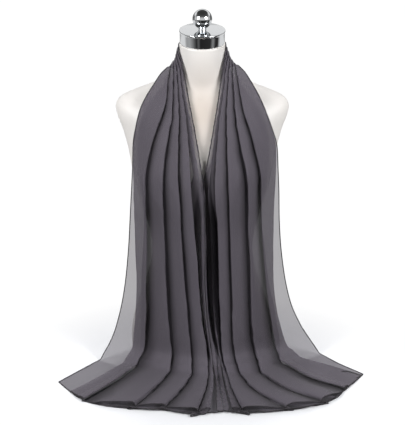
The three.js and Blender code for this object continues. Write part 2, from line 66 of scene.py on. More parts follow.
def through(rows, s):
    """Smooth curve through rows at places s: on each stretch the cubic whose slope at every row is half
    the step from the row before to the row after it."""
    rows = np.asarray(rows, float)
    last = len(rows) - 1
    i = np.clip(np.floor(s).astype(int), 0, last - 1)
    t = (s - i).reshape((-1,) + (1,) * (rows.ndim - 1))
    wide = np.concatenate([2 * rows[:1] - rows[1:2], rows, 2 * rows[-1:] - rows[-2:-1]])
    p0, p1, p2, p3 = wide[i], wide[i + 1], wide[i + 2], wide[i + 3]
    m1, m2 = (p2 - p0) / 2, (p3 - p1) / 2
    return ((2 * t**3 - 3 * t**2 + 1) * p1 + (t**3 - 2 * t**2 + t) * m1
            + (3 * t**2 - 2 * t**3) * p2 + (t**3 - t**2) * m2)


def bust_rise(x, z):
    """Two rounded hills: rise times exp(-height^2) times the sum of exp(-side^2), in spreads."""
    up = (z - BUST_HEIGHT) / BUST_SPREAD_UP
    left, right = (x + BUST_ACROSS) / BUST_SPREAD_ACROSS, (x - BUST_ACROSS) / BUST_SPREAD_ACROSS
    return BUST_RISE * np.exp(-up**2) * (np.exp(-left**2) + np.exp(-right**2))


def form_surface(rings, around):
    """Rings of x = half * c, y = middle + depth * s, z = height + rise * (y - middle), where c and s are
    the cosine and sine raised to 2 / squareness. rings are rows of FORM_ROWS."""
    half, front, back, middle, rise = (rings[:, k:k + 1] for k in range(1, 6))
    z = rings[:, :1]
    angle = 2 * np.pi * np.arange(around) / around
    c, s = np.cos(angle), np.sin(angle)
    c = np.sign(c) * np.abs(c) ** (2 / FORM_SQUARENESS)
    s = np.sign(s) * np.abs(s) ** (2 / FORM_SQUARENESS)
    x = half * c
    flat = np.where(s < 0, front, back) * s
    hill = np.where(s < 0, bust_rise(x, z) * np.minimum(1, -2 * s), 0)
    return np.stack([x, middle + flat - hill, z + rise * flat], -1)


def mesh_piece(name, points, faces, material, smooth=True):
    """One mesh object at the origin from points in mm and quads or triangles."""
    mesh = bpy.data.meshes.new(name)
    mesh.from_pydata((np.asarray(points) / 1000).tolist(), [], [list(f) for f in faces])
    mesh.polygons.foreach_set("use_smooth", np.full(len(mesh.polygons), smooth))
    mesh.materials.append(material)
    mesh.update()
    piece = bpy.data.objects.new(name, mesh)
    scene.collection.objects.link(piece)
    return piece


def grid_quads(rows, cols, closed):
    """Quads between neighbouring rows and columns of a grid; closed joins the last column to the first."""
    i, j = np.meshgrid(np.arange(rows - 1), np.arange(cols if closed else cols - 1), indexing="ij")
    n = (j + 1) % cols
    return np.stack([i * cols + j, i * cols + n, (i + 1) * cols + n, (i + 1) * cols + j], -1).reshape(-1, 4)


def capped_tube(name, rings, ends, material):
    """Closed rings of points joined by quads, with a fan of triangles from each end ring to its point."""
    rows, cols = rings.shape[:2]
    j = np.arange(cols)
    n = (j + 1) % cols
    count = rows * cols
    first = np.stack([np.full(cols, count), n, j], -1)
    last = np.stack([np.full(cols, count + 1), count - cols + j, count - cols + n], -1)
    faces = grid_quads(rows, cols, True).tolist() + first.tolist() + last.tolist()
    return mesh_piece(name, np.concatenate([rings.reshape(-1, 3), ends]), faces, material)


def linear(hex_colour):
    """Shader colour of an sRGB hex value."""
    parts = [int(hex_colour[k:k + 2], 16) / 255 for k in (1, 3, 5)]
    return [c / 12.92 if c <= 0.04045 else ((c + 0.055) / 1.055) ** 2.4 for c in parts] + [1.0]


def add(tree, kind, settings=None, stops=(), **links):
    """Adds one node. settings are its own properties or values of sockets, by name or number; links are
    sockets to join, named with underscores for spaces or as _0, _1 by number; stops are places and greys
    of a colour ramp."""
    node = tree.nodes.new(kind)
    for key, value in (settings or {}).items():
        if isinstance(key, str) and hasattr(node, key):
            setattr(node, key, value)
        else:
            node.inputs[key].default_value = value
    for key, source in links.items():
        socket = int(key[1:]) if key.startswith("_") else key.replace("_", " ")
        tree.links.new(source, node.inputs[socket])
    for _ in stops[2:]:
        node.color_ramp.elements.new(1.0)
    for i, (at, level) in enumerate(stops):
        node.color_ramp.elements[i].position = at
        node.color_ramp.elements[i].color = (level, level, level, 1)
    return node


def finish(name, **sockets):
    """New material with one Principled shader; gives the material, its tree and the shader."""
    material = bpy.data.materials.new(name)
    material.use_nodes = True
    tree = material.node_tree
    shader = tree.nodes["Principled BSDF"]
    for key, value in sockets.items():
        shader.inputs[key.replace("_", " ")].default_value = value
    return material, tree, shader


# Gel coat over fibreglass: even satin white with a faint orange peel from the mould, about 4 mm across,
# and a darker, warmer patch on the breastbone between the scarf's ends, as in the photo, with faint blotches.
gel_coat, tree, shader = finish("satin_white_gel_coat", Roughness=0.42, IOR=1.5)
coords = add(tree, "ShaderNodeTexCoord")
peel = add(tree, "ShaderNodeTexNoise", {"Scale": 250.0, "Detail": 2.0}, Vector=coords.outputs["Object"])
bump = add(tree, "ShaderNodeBump", {"Strength": 0.05, "Distance": 0.0004}, Height=peel.outputs["Fac"])
tree.links.new(bump.outputs["Normal"], shader.inputs["Normal"])
# Darker, warmer breastbone patch: a spherical fade centred on the chest, with faint blotches added to it
breast = add(tree, "ShaderNodeMapping", {"Location": (0, 0.5, -4.6), "Scale": (10, 6, 8)},
             Vector=coords.outputs["Object"])
patch = add(tree, "ShaderNodeTexGradient", {"gradient_type": "SPHERICAL"}, Vector=breast.outputs["Vector"])
chest_blotches = add(tree, "ShaderNodeTexNoise", {"Scale": 18.0, "Detail": 3.0}, Vector=coords.outputs["Object"])
chest_darkening = add(tree, "ShaderNodeMath", {"operation": "MULTIPLY_ADD", 1: 0.12},
              _0=chest_blotches.outputs["Fac"], _2=patch.outputs["Fac"])
chest_tone = add(tree, "ShaderNodeMix", {"data_type": "RGBA", 6: linear("#e9e6e3"), 7: linear("#cbc0b6")},
          _0=chest_darkening.outputs["Value"])
tree.links.new(chest_tone.outputs[2], shader.inputs["Base Color"])

stretches = len(FORM_ROWS) - 1
rings = through(FORM_ROWS, np.linspace(0, stretches, stretches * RINGS_PER_ROW + 1))
rings[:, 0] = np.clip(rings[:, 0], 0, NECK_TOP)
skin = form_surface(rings, AROUND)
base_centre, neck_centre = [0, FORM_ROWS[0, 4], 0], [0, 0, NECK_TOP]
underside = [base_centre + (skin[0] - base_centre) * k for k in END_RINGS[::-1]]
neck_face = [neck_centre + (skin[-1] - neck_centre) * k for k in END_RINGS]
shell = np.concatenate([underside, skin, neck_face])
form = capped_tube("display_form", shell, [base_centre, neck_centre], gel_coat)
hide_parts("form_torso")
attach(form, "root")


# Neck cap: a spun steel band and a flat plate with a rolled lip, chromed and polished, pressed into the
# neck. The neck leans forward, so the cap does too.
NECK_RISE = 0.16
AXIS_RADIUS = 0.5
BAND_RADIUS, PLATE_RADIUS = 47.2, 48.2
CAP_BASE, BAND_TOP, PLATE_TOP = 0.35, 22.4, 27.4


def turned(name, profile, segments, material):
    """Profile of radius and height carried round the axis that leans forward with the neck."""
    profile = np.asarray(profile, float)
    angle = 2 * np.pi * np.arange(segments) / segments
    r, h = profile[:, :1], profile[:, 1:]
    lean = math.atan(NECK_RISE)
    x, y, z = r * np.cos(angle), r * np.sin(angle), h + 0 * angle
    back = y * math.cos(lean) - z * math.sin(lean)
    up = y * math.sin(lean) + z * math.cos(lean) + NECK_TOP
    rings = np.stack([x, back, up], -1)
    return capped_tube(name, rings, [rings[0].mean(0), rings[-1].mean(0)], material)


def rounded(corners, radius, steps=4):
    """Profile through corners, each rounded by a quadratic curve that starts and ends radius away from it,
    but no more than 0.45 of the way to the next corner."""
    corners = np.asarray(corners, float)
    middle = corners[1:-1]
    before, after = corners[:-2] - middle, corners[2:] - middle
    to_before, to_after = np.linalg.norm(before, axis=1), np.linalg.norm(after, axis=1)
    reach = np.minimum(radius, 0.45 * np.minimum(to_before, to_after))[:, None]
    a = middle + before / to_before[:, None] * reach
    b = middle + after / to_after[:, None] * reach
    t = np.linspace(0, 1, steps)[None, :, None]
    curve = (1 - t) ** 2 * a[:, None] + 2 * t * (1 - t) * middle[:, None] + t**2 * b[:, None]
    return np.concatenate([corners[:1], curve.reshape(-1, 2), corners[-1:]])


# Bright chrome over steel: a near mirror with the faintest haze of fine polishing rings.
chrome, tree, shader = finish("polished_chrome", Base_Color=linear("#e4e6e8"), Metallic=1.0, Roughness=0.07)
coords = add(tree, "ShaderNodeTexCoord")
haze = add(tree, "ShaderNodeTexNoise", {"Scale": 60.0, "Detail": 3.0}, Vector=coords.outputs["Object"])
rough = add(tree, "ShaderNodeMapRange", {"To Min": 0.04, "To Max": 0.1}, Value=haze.outputs["Fac"])
tree.links.new(rough.outputs["Result"], shader.inputs["Roughness"])

cap = turned("neck_cap_plate", rounded([
    (AXIS_RADIUS, CAP_BASE), (BAND_RADIUS, CAP_BASE), (BAND_RADIUS, BAND_TOP),
    (PLATE_RADIUS - 0.6, BAND_TOP + 1.6), (PLATE_RADIUS, BAND_TOP + 2.4), (PLATE_RADIUS, PLATE_TOP),
    (AXIS_RADIUS, PLATE_TOP),
], 0.7), 128, chrome)
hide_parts("neck_cap")
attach(cap, "root")


# Finial: a hollow pressed ball on a short turned collar, chromed like the cap and screwed into the plate.
BALL_RADIUS = 20.5
COLLAR_RADIUS, COLLAR_FOOT, COLLAR_WAIST = 8.5, 9, 7.5
COLLAR_BASE, COLLAR_HEIGHT = 27.8, 4.4
BALL_CENTRE = COLLAR_BASE + COLLAR_HEIGHT + math.sqrt(BALL_RADIUS**2 - COLLAR_RADIUS**2)
sweep = np.linspace(math.asin(COLLAR_RADIUS / BALL_RADIUS), math.pi - 0.02, 48)
ball = np.stack([BALL_RADIUS * np.sin(sweep), BALL_CENTRE - BALL_RADIUS * np.cos(sweep)], -1)
collar = rounded([
    (AXIS_RADIUS, COLLAR_BASE), (COLLAR_FOOT, COLLAR_BASE), (COLLAR_FOOT, COLLAR_BASE + 1.5),
    (COLLAR_WAIST, COLLAR_BASE + 2.5), ball[0],
], 0.6)
finial = turned("ball_finial", np.concatenate([collar, ball[1:]]), 96, chrome)
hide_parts("finial")
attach(finial, "root")


# Scarf: one rectangle of dark-grey polyester chiffon, 70 cm by 190 cm, laid round the neck in loose
# knife folds. Both ends hang down the front, reach the table and fan out over it. Each fold climbs to
# its edge, turns back under itself and starts the next one below, all pointing to the inner edge.
# The hidden layers are drawn for how they look and cross each other in places; the unfolded width is
# 0.70 m on average only, less at the nape and more at the hems.
FOLDS = 5
LINES = FOLDS + 2
NECK_FOLDS = np.array([
    # angle round the neck, outer edge radius and height, inner edge radius and height, stand-off
    (180, 73, 652, 49.5, 701, -4), (150, 71, 641, 49.5, 702, -2), (120, 74, 624, 49.5, 703, 0),
    (90, 77, 616, 49.5, 704, 1), (60, 74, 625, 49.5, 703, 0), (30, 71, 644, 49.5, 702, -2),
    (0, 75, 656, 49.5, 701, -4),
], float)
# Hanging rows: outer edge x y z, five fold edges x, inner edge x y z, stand-off, fold depth, overlap
LEFT_HANG = np.array([
    (-87, -14, 643, -69, -62, -56, -51, -47, -45, -18, 683, 6, 9, 0.75),
    (-102, -30, 623, -74, -62, -53, -46, -41, -38.5, -33, 655, 9, 11, 0.75),
    (-119, -46, 598, -76, -62, -50, -40, -34, -30, -42, 605, 20, 14, 0.75),
    (-133, -57, 566, -84, -64, -48, -33, -26, -21.5, -66, 566, 32, 18, 0.75),
    (-146, -60, 503, -99, -76, -50, -27, -15, -8.5, -94, 500, 46, 24, 0.78),
    (-148.5, -60, 450, -101, -79, -50, -24, -5, -0.5, -112, 450, 46, 26, 0.78),
    (-151.5, -60, 400, -106, -80, -47, -21, 1.5, 6, -116, 400, 46, 28, 0.8),
    (-156, -56, 330, -119.5, -82, -46, -16, 3, 7, -113, 330, 47, 30, 0.8),
    (-160.5, -54, 260, -121, -80, -42, -10, 3, 8, -110, 260, 47, 30, 0.8),
    (-168, -50, 190, -123.5, -78, -37, -6, 4.5, 9.5, -107, 190, 47, 30, 0.8),
    (-178.5, -48, 130, -124, -75.5, -32, -1, 9, 14, -108, 130, 47, 28, 0.8),
    (-191.5, -46, 80, -126, -72, -28, 7, 15.5, 22, -113, 80, 46, 24, 0.78),
    (-206, -47, 42, -130, -69, -25, 11, 21.5, 29, -122, 42, 42, 18, 0.72),
], float)
RIGHT_HANG = np.array([
    (89, -14, 646, 71, 64, 58, 52.5, 48.5, 46, -18, 684, 6, 9, 0.75),
    (104, -30, 625, 76, 65, 55, 48, 44, 41.5, -32, 656, 9, 11, 0.75),
    (119, -46, 600, 82, 67, 52, 42, 37.5, 34.5, -42, 606, 20, 14, 0.75),
    (135, -57, 565, 89, 70, 50, 35, 31, 28, -64, 567, 32, 18, 0.75),
    (157, -60, 500, 105, 82, 52, 29, 21, 15.5, -92, 500, 46, 24, 0.78),
    (161, -60, 450, 114, 90, 54, 28, 16, 6, -103, 450, 46, 26, 0.78),
    (164, -60, 400, 121.5, 95, 56, 30, 15, 4, -101, 400, 48, 28, 0.8),
    (166.5, -56, 330, 126.5, 98, 59, 32, 16, 5.5, -98, 330, 50, 30, 0.8),
    (172, -54, 260, 133, 102.5, 61, 34.5, 18, 6.5, -94, 260, 51, 30, 0.8),
    (182, -50, 190, 140, 105.5, 64, 36, 20, 8, -92, 190, 51, 30, 0.8),
    (197, -44, 130, 149, 108, 65.5, 38, 24, 13, -93, 130, 51, 28, 0.8),
    (218, -34, 80, 157, 112, 68, 41, 30, 21, -99, 80, 50, 24, 0.78),
    (240, -26, 42, 164, 119, 72, 44, 36, 29, -112, 42, 46, 18, 0.72),
], float)
# Fold lines over the table, from the outer edge inwards: x y where each lands, halfway and at the hem
LEFT_SPREAD = np.array([
    (-229, -57, -269, -108, -309, -164), (-146, -106, -193, -175, -247, -252),
    (-73, -140, -100, -208, -139, -286), (-24, -154, -41, -208, -76, -292),
    (13, -162, 7, -222, -9, -312), (25, -157, 24, -220, 18, -304), (34, -146, 38, -205, 43, -298),
], float)
RIGHT_SPREAD = np.array([
    (266, -26, 306, -76, 351, -126), (176, -84, 232, -150, 302, -201), (130, -146, 178, -212, 247, -266),
    (83, -152, 110, -218, 172, -294), (54, -158, 62, -220, 80, -306), (45, -154, 49, -215, 58, -303),
    (35.8, -146, 39.8, -205, 44.9, -298),
], float)
# Fold size: depth, overlap, overlap of the first fold, depth of the next fold under the edge, edge radius
# and clearance from the form
NECK_SIZE = (5.6, 0.7, 0.7, 0.72, 1.15, 0.6)
TABLE_SIZES = ((13, 0.66, 0.66, 0.7, 2.5, 2.2),) + ((10.4, 0.6, 0.6, 0.85, 2.5, 2.2),) * 2
# Heights over the table where it lands, halfway and at the hem: outer edge, folds, inner edge
TABLE_HEIGHTS = ((3, 15.5, 4), (0.95, 11.6, 3), (0.95, 11.6, 3))
# Stations count the rows: 0 is the side of the neck, 1 to 13 hang, 14 lands, 15 is halfway and 16 the hem
LANDING, HALFWAY, HEM = 14, 15, 16
STEPS_PER_ROW = (2, 2, 2, 2, 2, 1, 1, 1, 1, 1, 1, 1, 2, 4, 4, 3)
STATIONS = np.concatenate([[0]] + [i + np.arange(1, n + 1) / n for i, n in enumerate(STEPS_PER_ROW)])
# The cloth bends sharply where it lands: a row just before and one just after, as shares of the way
BEFORE_LANDING, AFTER_LANDING = 0.6, 0.25
# How much higher in mm the folds stand over the table than their solids, by station. The edge of the first
# fold, which ends the single flap, drops instead
LOFT = ((13.5, 0), (14, 2), (15, 5), (16, 6))
FLAP_DROP = 2.5
# Width in mm along the outer edge where the chiffon is one layer thick and lets the light through
LEFT_SINGLE = (0, 0, 0, 0, 0, 3, 5.5, 11, 16, 23, 34, 41, 49, 58, 65, 62, 60)
RIGHT_SINGLE = (0, 0, 0, 0, 0, 5, 9, 15, 20, 27, 37, 46, 58, 66, 56, 24, 10)
# How far in mm the last fold and the inner edge lie back in each hanging row
LEFT_BACK = (0, 0, 0, 0, 0, 0, 2, 3, 0, 0, 0, 0, 0)
RIGHT_BACK = (0, 0, 0, 0, 0, 0, 4, 11, 14, 10, 4, 0, 0)
# Depth in mm of the valley between the fourth fold and the inner edge
LEFT_HOLLOW = (0, 0, 0, 0, 0, 2, 4, 10, 26, 28, 28, 24, 16, 8, 0, 0, 0)
RIGHT_HOLLOW = (0, 0, 0, 0, 0, 2, 4, 10, 24, 26, 26, 26, 22, 14, 6, 0, 0)
# Stations, then values in mm: radius of the fold edges, which open towards the hem, depth of the folds
# near the neck, and width turned under at the inner edge. The flap's own edge stays flatter
EDGE_RADIUS = ((0, 1, 13, 14, 15, 16), (0.8, 1.15, 2.2, 2.2, 3.4, 7.0))
NECK_DEPTH = ((0, 1, 2, 3), (3.2, 6, 11, 14))
INNER_TUCK = ((8, 11, 13, 14, 16), (0.8, 6, 9, 12, 15))
FLAP_RADIUS = 2.2
# How far in mm the hem bulges out between two fold lines
HEM_LOBE = 7.0
# Lengthwise creases: height and pitch in mm, sway in radians and drift in mm
CREASES = ((0.3, 19, 1.7, 97), (0.35, 33, 2.1, 71), (0.45, 56, -1.5, 133))
# Wall of the solids, and least heights of the chiffon over the table and off the form
WALL, LOWEST, OFF_FORM = 1.2, 0.9, 1.0
# Points of a section: at the outer edge, on each later fold's face, and round and behind each fold
EDGE_POINTS, FACE_POINTS, TURN_POINTS = 3, 3, 7
ROW_SPACING, COLUMNS_PER_STRETCH = 4.4, 4


def unit(v):
    """Vectors of length one; a zero vector stays zero."""
    return v / np.maximum(np.linalg.norm(v, axis=-1, keepdims=True), 1e-9)


def form_field(p):
    """About the distance in mm outside the form: the squared-off ellipse measure of the ring at the
    point's height, less one, times the ring's smaller half size, and the gap before the bust's skin."""
    z = p[..., 2].copy()
    for _ in range(5):
        row = [np.interp(z, FORM_ROWS[:, 0], FORM_ROWS[:, k]) for k in range(6)]
        z = p[..., 2] - row[5] * (p[..., 1] - row[4])
    z = np.clip(z, 0, 704)
    x, y = p[..., 0], p[..., 1] - row[4]
    lift = np.where(y < 0, bust_rise(x, z), 0)
    depth = np.where(y < 0, row[2] + lift, row[3])
    n = FORM_SQUARENESS
    across = (np.abs(x) / row[1]) ** n
    field = ((across + (np.abs(y) / depth) ** n) ** (1 / n) - 1) * np.minimum(row[1], depth)
    skin = -row[2] * np.maximum(1 - across, 0) ** (1 / n) - lift
    bust = (lift >= 0.5) & (across <= 0.9)
    return np.where(bust, np.minimum(field, 0.8 * (skin - y)), field)


def push_out(p, direction, clearance):
    """Distance that each point moves along its direction, in half millimetres, to stand clear."""
    moved = np.zeros(p.shape[:-1])
    for _ in range(120):
        inside = form_field(p + direction * moved[..., None]) < clearance
        moved += 0.5 * inside
    return moved


def outward_of(lines, side):
    """Normal of the folded cloth at each line of each station, smoothed twice with its neighbours."""
    n = unit(side * np.cross(np.gradient(lines, axis=0), np.gradient(lines, axis=1)))
    for _ in range(2):
        wide = np.pad(n, ((1, 1), (1, 1), (0, 0)), "edge")
        n = unit(2 * n + wide[2:, 1:-1] + wide[:-2, 1:-1] + wide[1:-1, 2:] + wide[1:-1, :-2])
    return n


def fold_sections(lines, outward, size, single=None, hollow=None, tuck=None, sheer=None):
    """Sections across the cloth through its lines: place(k, f, h, back) is the point a share f of the way
    from line k to the next, h out along the normal and back straight behind. Gives the points and where
    each lies between the lines.
    Each fold rises over its face to its edge, turns round it, lies back under itself by a share lap of its
    width and comes forward again as the next face. single is the width in mm along the outer edge that
    stays one layer thick, hollow the depth of the last valley, tuck the width turned under at the inner
    edge and sheer where the last fold turns back only a little; without them the fold sizes alone hold."""
    depth, lap_most, first_lap, low, radius_most, _ = size.T
    section, where = [], []

    def place(k, f, h, back=0):
        f, h, back = f + 0 * depth, h + 0 * depth, back + 0 * depth
        a = lines[:, k] + (lines[:, k + 1] - lines[:, k]) * f[:, None]
        n = outward[:, k] + (outward[:, k + 1] - outward[:, k]) * f[:, None]
        section.append(a + n * h[:, None] + [0, 1, 0] * back[:, None])
        where.append(k + f)

    full = single is not None
    widths = np.linalg.norm(np.diff(lines, axis=1), axis=-1)
    sag = (low - 0.5) * depth
    place(0, 0, 0)
    place(0, 0.35, -sag)
    place(0, 0.7, -0.9 * sag)
    for k in range(1, FOLDS + 1):
        width = widths[:, k - 1]
        deep = np.minimum(depth, 0.9 * width) if full else depth
        radius = np.minimum(radius_most, 0.3 * width)
        # The nose is the share of the face that the edge rounds off, turn how far the return lies below
        # it and under how far the next face starts below it
        nose = np.clip(1.2 * radius / width, 0, 0.4)
        lap = np.clip(45 / width, 0.2, first_lap if k == 1 else lap_most)
        turn = np.minimum(2 * radius, 0.28 * deep)
        under = deep
        if full:
            lap = 0.95 + 0.6 * np.minimum(deep / width, 0.7)
            under = 0.75 * deep + np.clip(0.4 * depth - 3, 1, 4)
            if k == 1:
                lap = np.clip(np.minimum(1 - single / width, 0.99 - 0.5 * nose), 0.3, 1)
                under = np.clip(0.3 * depth - 2, 1.5, 3.5)
                radius = np.minimum(radius, FLAP_RADIUS)
            elif k == 2:
                lap = lap + np.minimum(0.35, np.interp(width, [50, 90], [10, -8]) / width)
            elif k == FOLDS:
                lap = np.where(sheer, 0.2, lap)
            turn = np.minimum(turn, 0.5 * under)
        # Face: it starts hidden behind the fold before it
        if k > 1 and not full:
            place(k - 1, 0.05, -low * deep)
            place(k - 1, 0.55, -0.25 * deep)
        elif 1 < k < FOLDS:
            if k == 2:
                place(0, 1 - 0.22 * width / widths[:, 0], -0.5 * deep)
            else:
                place(k - 1, -0.08, -0.7 * deep)
            place(k - 1, 0.12, -np.interp(width, [40, 80], [0.26, 0.5]) * deep)
            place(k - 1, 0.5, -0.07 * deep)
        elif k == FOLDS:
            place(k - 1, -0.08, -0.6 * deep, 0.4 * hollow)
            place(k - 1, 0.15, -0.25 * deep, hollow)
            place(k - 1, 0.65, -0.07 * deep, hollow)
        # Edge, and the two layers behind it
        place(k - 1, 1 - nose, 0)
        place(k - 1, 1, -radius)
        place(k - 1, 1 - nose, -2 * radius)
        behind = 1.25 * hollow if full and k == FOLDS else 0
        place(k - 1, 1 - 0.55 * lap - 0.2 * nose, -0.9 * radius + 0.55 * (turn - under), behind)
        place(k - 1, 1 - lap, turn - under, behind)
        place(k - 1, 1 - lap - 0.5 * nose, 0.5 * turn - under, behind)
        place(k - 1, 1 - lap, -under, behind)
    place(FOLDS, 0.05, -low * deep)
    place(FOLDS, 0.55, -0.42 * low * deep)
    place(FOLDS, 1, 0)
    if full:
        width = widths[:, -1]
        place(FOLDS, 1 - 0.06 * tuck / width, -np.minimum(1.2, 0.3 * tuck))
        place(FOLDS, 1 - 0.5 * tuck / width, -np.minimum(2.0, 0.5 * tuck))
        place(FOLDS, 1 - tuck / width, -np.minimum(2.0, 0.5 * tuck))
    return np.stack(section, 1), np.stack(where, 1)


def cleared(lines, size, side):
    """Lifts the lines until the sections stand clear of the form, five times over."""
    for _ in range(5):
        outward = outward_of(lines, side)
        points, where = fold_sections(lines, outward, size)
        k = np.clip(np.floor(where).astype(int), 0, LINES - 2)
        f = where - k
        direction = np.take_along_axis(outward, k[..., None], 1)
        moved = push_out(points, direction, WALL / 2 + size[:, 5:6])
        share = np.where((k == 0) & (f > 0.01), 0, np.minimum(1, 1.5 * (1 - f)))
        lift = np.zeros(lines.shape[:2])
        rows = np.arange(len(lines))[:, None] + 0 * k
        np.maximum.at(lift, (rows, k), moved * share)
        np.maximum.at(lift, (rows, k + 1), moved * np.minimum(1, 1.5 * f))
        lines = lines + outward * lift[..., None]
    return lines, outward_of(lines, side)


def neck_lines(row):
    """Seven lines from the edge on the shoulder to the edge at the neck top, standing off between them."""
    angle, edge_r, edge_z, rim_r, rim_z, crest = row
    radial = np.array([math.cos(math.radians(angle)), math.sin(math.radians(angle)), 0])
    middle = np.interp([edge_z, rim_z], FORM_ROWS[:, 0], FORM_ROWS[:, 4])
    edge = radial * edge_r + [0, middle[0], edge_z + NECK_RISE * radial[1] * 10]
    rim = radial * rim_r + [0, middle[1], rim_z + NECK_RISE * radial[1] * rim_r]
    w = np.arange(LINES)[:, None] / (LINES - 1)
    return edge + (rim - edge) * w + unit(radial + [0, 0, 0.45]) * crest * 4 * w * (1 - w)


def end_lines(neck_row, hang, spread, back):
    """Lines of one hanging end from the side of the neck to the hem, at the stations; back is how far the
    last fold and the inner edge lie behind the others. Gives the lines and the fold sizes."""
    w = np.arange(LINES)[None, :] / (LINES - 1)
    shape = np.sin(np.pi * w**0.8)
    x = np.concatenate([hang[:, :1], hang[:, 3:8], hang[:, 8:9]], 1)
    y = hang[:, 1:2] + (hang[:, 9:10] - hang[:, 1:2]) * w - hang[:, 11:12] * shape
    y[:, FOLDS:] += np.array(back, float)[:, None]
    z = hang[:, 2:3] + (hang[:, 10:11] - hang[:, 2:3]) * w
    keys = [neck_lines(neck_row)] + list(np.stack([x, y, z], -1))
    for k, (edge, fold, inner) in enumerate(TABLE_HEIGHTS):
        height = np.array([edge] + [fold] * FOLDS + [inner])
        keys.append(np.column_stack([spread[:, 2 * k:2 * k + 2], height]))
    hang_sizes = [(d, lap, 0.5, 0.6 if d < 10 else 0.5, 1.15 if d < 14 else 2.0, 0.8 if d < 12 else 2.2)
                  for d, lap in hang[:, 12:14]]
    sizes = np.array([NECK_SIZE] + hang_sizes + list(TABLE_SIZES), float)
    size = np.stack([np.interp(STATIONS, np.arange(len(sizes)), column) for column in sizes.T], -1)
    before = keys[LANDING - 1] + (keys[LANDING] - keys[LANDING - 1]) * BEFORE_LANDING
    after = keys[LANDING] + (keys[HALFWAY] - keys[LANDING]) * AFTER_LANDING
    keys = np.array(keys[:LANDING] + [before, keys[LANDING], after] + keys[HALFWAY:])
    around_landing = [LANDING - 1 + BEFORE_LANDING, LANDING, LANDING + AFTER_LANDING]
    own = list(range(LANDING)) + around_landing + [HALFWAY, HEM]
    return through(keys, np.interp(STATIONS, own, np.arange(len(keys)))), size


def end_sections(neck_row, hang, spread, single, back, hollow, side):
    """Sections of one end: its lines cleared from the form, then the fold shapes with rounder open folds
    towards the hem, where the cloth bulges by lobe * 4 f (1 - f) between two lines."""
    lines, size = end_lines(neck_row, hang, spread, back)
    loft = np.interp(STATIONS, *np.transpose(LOFT))
    lines[:, 2:-1, 2] += loft[:, None]
    lines[:, 1, 2] -= FLAP_DROP * np.clip(STATIONS - (LANDING + 0.5), 0, 1)
    lines, outward = cleared(lines, size, side)
    size = size.copy()
    size[:, 0] += loft
    size[:, 4] = np.interp(STATIONS, *EDGE_RADIUS)
    size[:, 0] = np.where(STATIONS < 3, np.interp(STATIONS, *NECK_DEPTH), size[:, 0])
    margin = np.interp(STATIONS, np.arange(len(single)), single)
    valley = np.interp(STATIONS, np.arange(len(hollow)), hollow)
    tuck = np.interp(STATIONS, *INNER_TUCK)
    sheer = (STATIONS > 3) & (STATIONS < 7)
    section, where = fold_sections(lines, outward, size, margin, valley, tuck, sheer)
    k = np.clip(np.floor(where).astype(int), 0, LINES - 2)
    spill = unit(lines[-1] - lines[-4])[k[-1]]
    near_hem = np.clip(STATIONS - HALFWAY, 0, 1)[:, None] ** 2
    bulge = np.maximum(0, 4 * (where - k) * (1 - where + k))
    lobe = HEM_LOBE * np.where(k == 0, 0.3, 1) * bulge * near_hem
    return section + lobe[..., None] * spill


def creases(grid):
    """Soft hanging creases that run lengthwise: along the cloth's normal, the sum of three waves whose
    phase is the distance across the cloth over a pitch plus a slow sway along it."""
    steps_across = np.linalg.norm(np.diff(grid, axis=1), axis=-1)
    steps_along = np.linalg.norm(np.diff(grid, axis=0), axis=-1).mean(1)
    u = np.concatenate([np.zeros((len(grid), 1)), np.cumsum(steps_across, 1)], 1)
    v = np.concatenate([[0], np.cumsum(steps_along)])[:, None]
    wave = sum(height * np.sin(2 * np.pi * u / pitch + sway * np.sin(v / drift))
               for height, pitch, sway, drift in CREASES)
    return unit(np.cross(np.gradient(grid, axis=0), np.gradient(grid, axis=1))) * wave[..., None]


# The nape's folds are as shallow as those at the sides of the neck, with no single margin or valley
neck_keys = np.array([neck_lines(row) for row in NECK_FOLDS])
neck = through(neck_keys, np.arange(0, len(NECK_FOLDS) - 0.99, 0.5))
neck_size = np.tile(NECK_SIZE, (len(neck), 1))
neck, neck_out = cleared(neck, neck_size, -1)
neck_size[:, 0], neck_size[:, 4] = NECK_DEPTH[1][0], EDGE_RADIUS[1][0]
none = np.zeros(len(neck))
nape = fold_sections(neck, neck_out, neck_size, none, none, none + INNER_TUCK[1][0], none > 0)[0]
left = end_sections(NECK_FOLDS[0], LEFT_HANG, LEFT_SPREAD, LEFT_SINGLE, LEFT_BACK, LEFT_HOLLOW, 1)
right = end_sections(NECK_FOLDS[-1], RIGHT_HANG, RIGHT_SPREAD, RIGHT_SINGLE, RIGHT_BACK, RIGHT_HOLLOW, -1)
control = np.concatenate([left[::-1], nape[1:-1], right])

# Fine surface: evenly spaced rows along the cloth, four columns for each stretch of the section
step = np.linalg.norm(np.diff(control, axis=0), axis=-1).mean(1)
along = np.concatenate([[0], np.cumsum(step)])
s = np.interp(np.linspace(0, along[-1], int(along[-1] / ROW_SPACING)), along, np.arange(len(control)))
c = np.arange((control.shape[1] - 1) * COLUMNS_PER_STRETCH + 1) / COLUMNS_PER_STRETCH
cloth = through(control, s)
cloth = np.moveaxis(through(np.moveaxis(cloth, 1, 0), c), 0, 1)
ROWS, COLS = cloth.shape[:2]
cloth = cloth + creases(cloth)
away = unit(cloth * [1, 1, 0] + [0, 0, 60])
cloth = cloth + away * push_out(cloth, away, OFF_FORM)[..., None]
cloth[..., 2] = np.maximum(cloth[..., 2], LOWEST)
steps_across = np.linalg.norm(np.diff(cloth, axis=1), axis=-1)
steps_along = np.linalg.norm(np.diff(cloth, axis=0), axis=-1).mean(1)
across = np.concatenate([np.zeros((ROWS, 1)), np.cumsum(steps_across, 1)], 1)
lengthwise = np.concatenate([[0], np.cumsum(steps_along)])
share_across = across / across[:, -1:]
share_along = np.repeat((lengthwise / lengthwise[-1])[:, None], COLS, 1)
